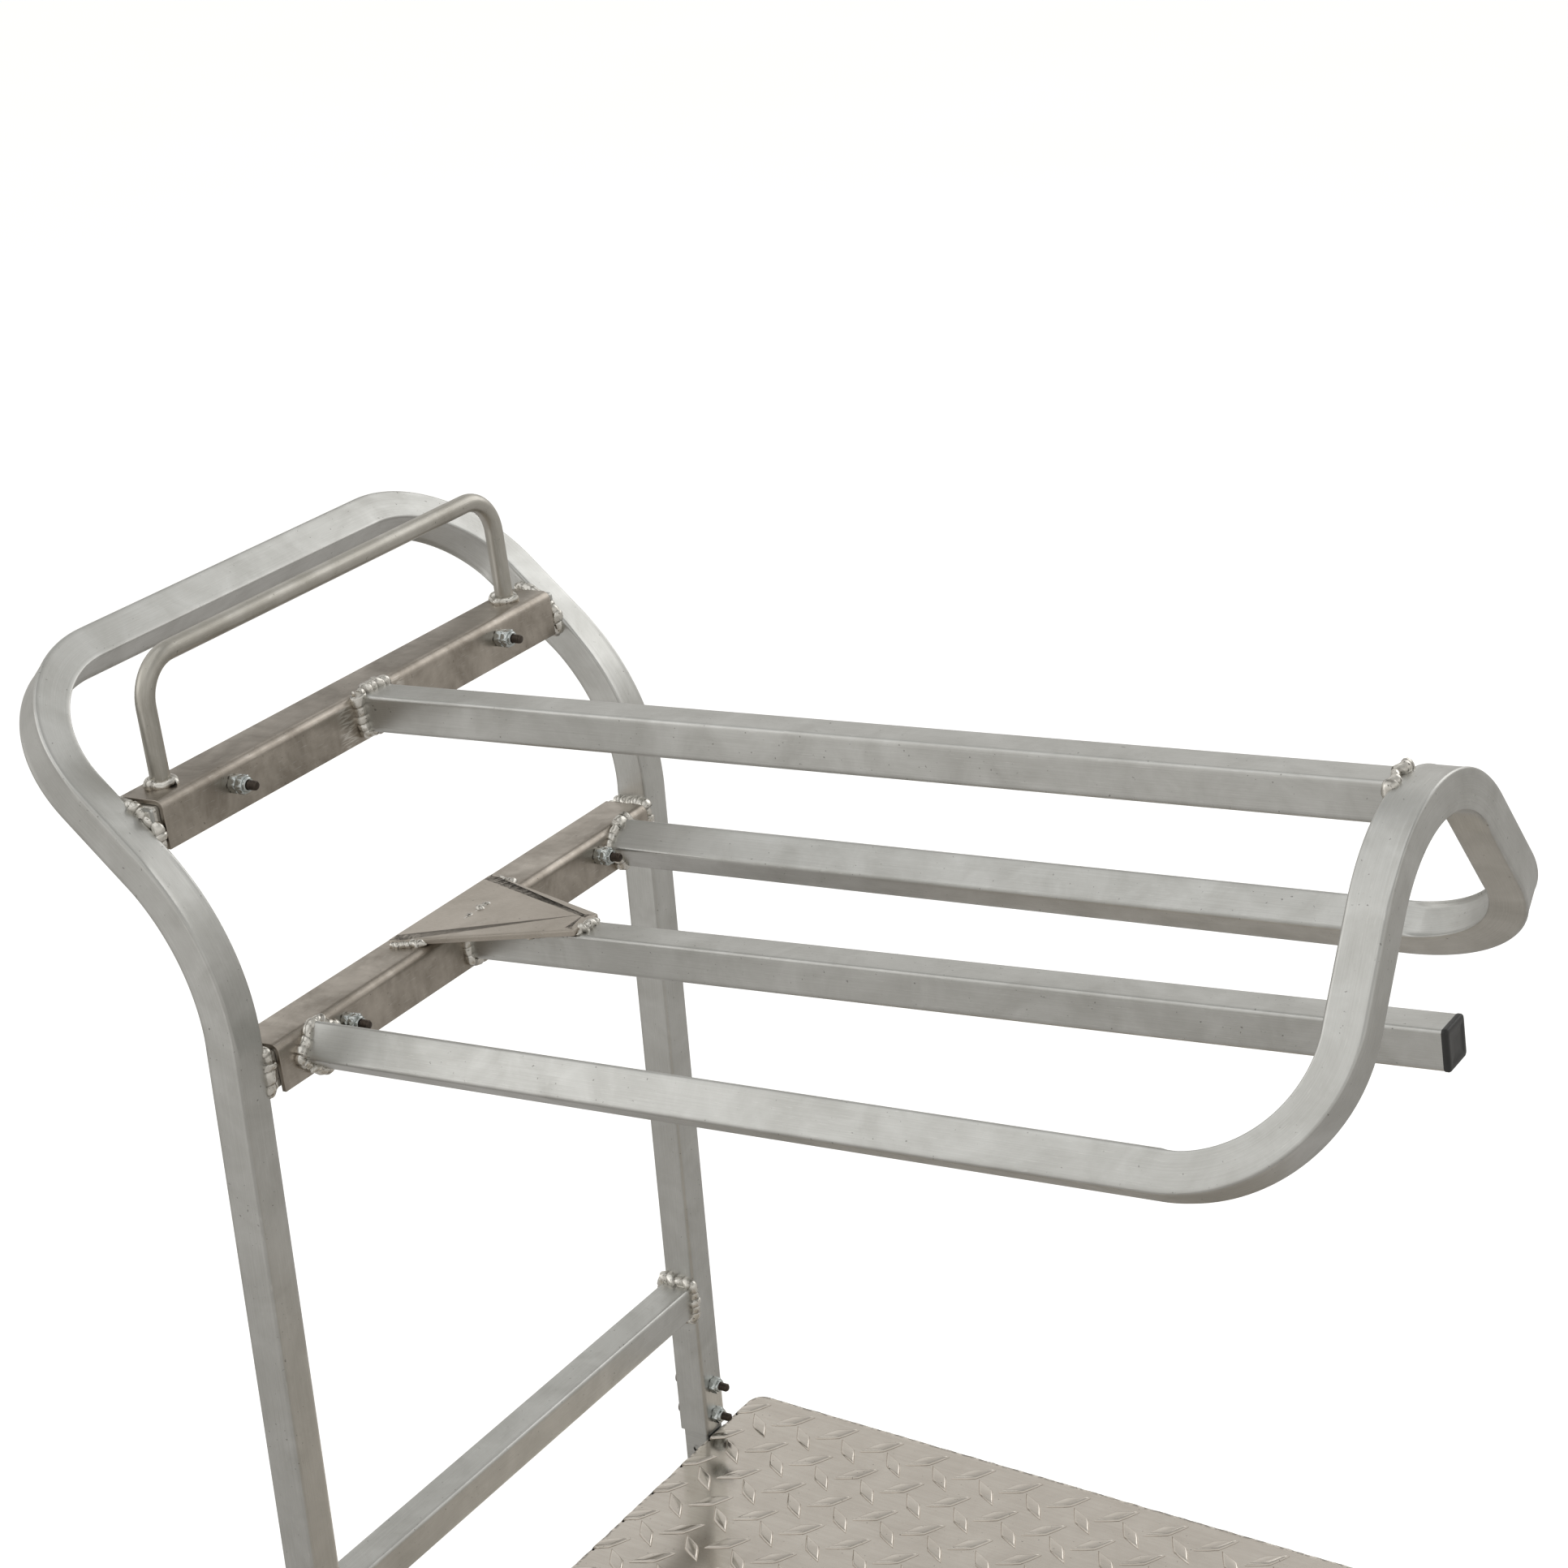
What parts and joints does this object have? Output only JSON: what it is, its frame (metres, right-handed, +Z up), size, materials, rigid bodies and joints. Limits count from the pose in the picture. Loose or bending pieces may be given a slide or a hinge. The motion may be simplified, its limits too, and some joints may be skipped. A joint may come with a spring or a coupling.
{
  "type": "luggage and tack cart",
  "caption": "Welded square-tube aluminium cart: bent handle frame with grab rod, A-shaped cantilever saddle rack, tread-plate deck, fixed rear and braked swivel front casters.",
  "frame": {"origin": "on the floor, midway between the rearmost and the foremost point, on the plane of symmetry", "axes": "+X from the handle to the front of the deck, +Y to the left, +Z up"},
  "size_m": [0.9686, 0.56, 0.9514],
  "materials": {
    "tube_aluminium": "mill finish, drawn along the tube",
    "bracket_aluminium": "mill finish, browned near the welds",
    "rod_aluminium": "mill finish rod",
    "tread_plate": "bright rolled tread plate",
    "zinc_fastener": "bright zinc plate",
    "zinc_caster": "bright zinc plate, pressed steel",
    "black_plastic": "moulded, fine grain",
    "hub_plastic": "moulded polypropylene",
    "pedal_plastic": "pressed zinc-plated steel",
    "tread_rubber": "grey-black thermoplastic rubber"
  },
  "bodies": {
    "cart_frame": {"bottom_cross_tube": "tube_aluminium", "bracket_bolts": "zinc_fastener", "bracket_nuts": "zinc_fastener", "caster_bolts": "zinc_fastener", "caster_nuts": "zinc_fastener", "caster_pads": "bracket_aluminium", "centre_rail": "tube_aluminium", "centre_rail_cap": "black_plastic", "deck_plate": "tread_plate", "front_cross_member": "tube_aluminium", "front_left_kingpin": "zinc_fastener", "front_left_plate": "zinc_caster", "front_right_kingpin": "zinc_fastener", "front_right_plate": "zinc_caster", "grab_handle": "rod_aluminium", "gusset_plate": "bracket_aluminium", "handle_frame": "tube_aluminium", "left_post": "tube_aluminium", "left_side_rail": "tube_aluminium", "lower_bracket": "bracket_aluminium", "lower_cross_tube": "tube_aluminium", "middle_cross_member": "tube_aluminium", "post_bolts": "zinc_fastener", "post_nuts": "zinc_fastener", "rack_loop": "tube_aluminium", "rear_cross_member": "tube_aluminium", "rear_left_axle": "zinc_fastener", "rear_left_axle_nut": "zinc_fastener", "rear_left_fork": "zinc_caster", "rear_right_axle": "zinc_fastener", "rear_right_axle_nut": "zinc_fastener", "rear_right_fork": "zinc_caster", "right_post": "tube_aluminium", "right_side_rail": "tube_aluminium", "side_rail_caps": "black_plastic", "top_rail": "tube_aluminium", "upper_bracket": "bracket_aluminium", "upper_cross_tube": "tube_aluminium", "washers": "zinc_fastener"},
    "rear_left_wheel": {"rear_left_hub": "hub_plastic", "rear_left_tyre": "tread_rubber"},
    "front_left_caster": {"front_left_fork": "zinc_caster", "front_left_axle": "zinc_fastener", "front_left_axle_nut": "zinc_fastener", "front_left_brake_pin": "zinc_fastener"},
    "front_left_wheel": {"front_left_hub": "hub_plastic", "front_left_tyre": "tread_rubber"},
    "front_left_brake": {"front_left_brake_pedal": "pedal_plastic"},
    "rear_right_wheel": {"rear_right_hub": "hub_plastic", "rear_right_tyre": "tread_rubber"},
    "front_right_caster": {"front_right_fork": "zinc_caster", "front_right_axle": "zinc_fastener", "front_right_axle_nut": "zinc_fastener", "front_right_brake_pin": "zinc_fastener"},
    "front_right_wheel": {"front_right_hub": "hub_plastic", "front_right_tyre": "tread_rubber"},
    "front_right_brake": {"front_right_brake_pedal": "pedal_plastic"}
  },
  "joints": [
    {"name": "rear_left_wheel_spin", "type": "hinge", "parent": "cart_frame", "child": "rear_left_wheel", "pos_m": [-0.19718, 0.2248, 0.0635], "axis": [0, 1, 0], "continuous": true},
    {"name": "front_left_caster_swivel", "type": "hinge", "parent": "cart_frame", "child": "front_left_caster", "pos_m": [0.40482, 0.2248, 0.14], "axis": [0, 0, 1], "continuous": true},
    {"name": "front_left_wheel_spin", "type": "hinge", "parent": "front_left_caster", "child": "front_left_wheel", "pos_m": [0.36982, 0.2248, 0.0635], "axis": [0, 1, 0], "continuous": true},
    {"name": "front_left_brake_press", "type": "hinge", "parent": "front_left_caster", "child": "front_left_brake", "pos_m": [0.31313, 0.2248, 0.11107], "axis": [0, -1, 0], "range_deg": [0, 24]},
    {"name": "rear_right_wheel_spin", "type": "hinge", "parent": "cart_frame", "child": "rear_right_wheel", "pos_m": [-0.19718, -0.2248, 0.0635], "axis": [0, 1, 0], "continuous": true},
    {"name": "front_right_caster_swivel", "type": "hinge", "parent": "cart_frame", "child": "front_right_caster", "pos_m": [0.40482, -0.2248, 0.14], "axis": [0, 0, 1], "continuous": true},
    {"name": "front_right_wheel_spin", "type": "hinge", "parent": "front_right_caster", "child": "front_right_wheel", "pos_m": [0.36982, -0.2248, 0.0635], "axis": [0, 1, 0], "continuous": true},
    {"name": "front_right_brake_press", "type": "hinge", "parent": "front_right_caster", "child": "front_right_brake", "pos_m": [0.31313, -0.2248, 0.11107], "axis": [0, -1, 0], "range_deg": [0, 24]}
  ]
}
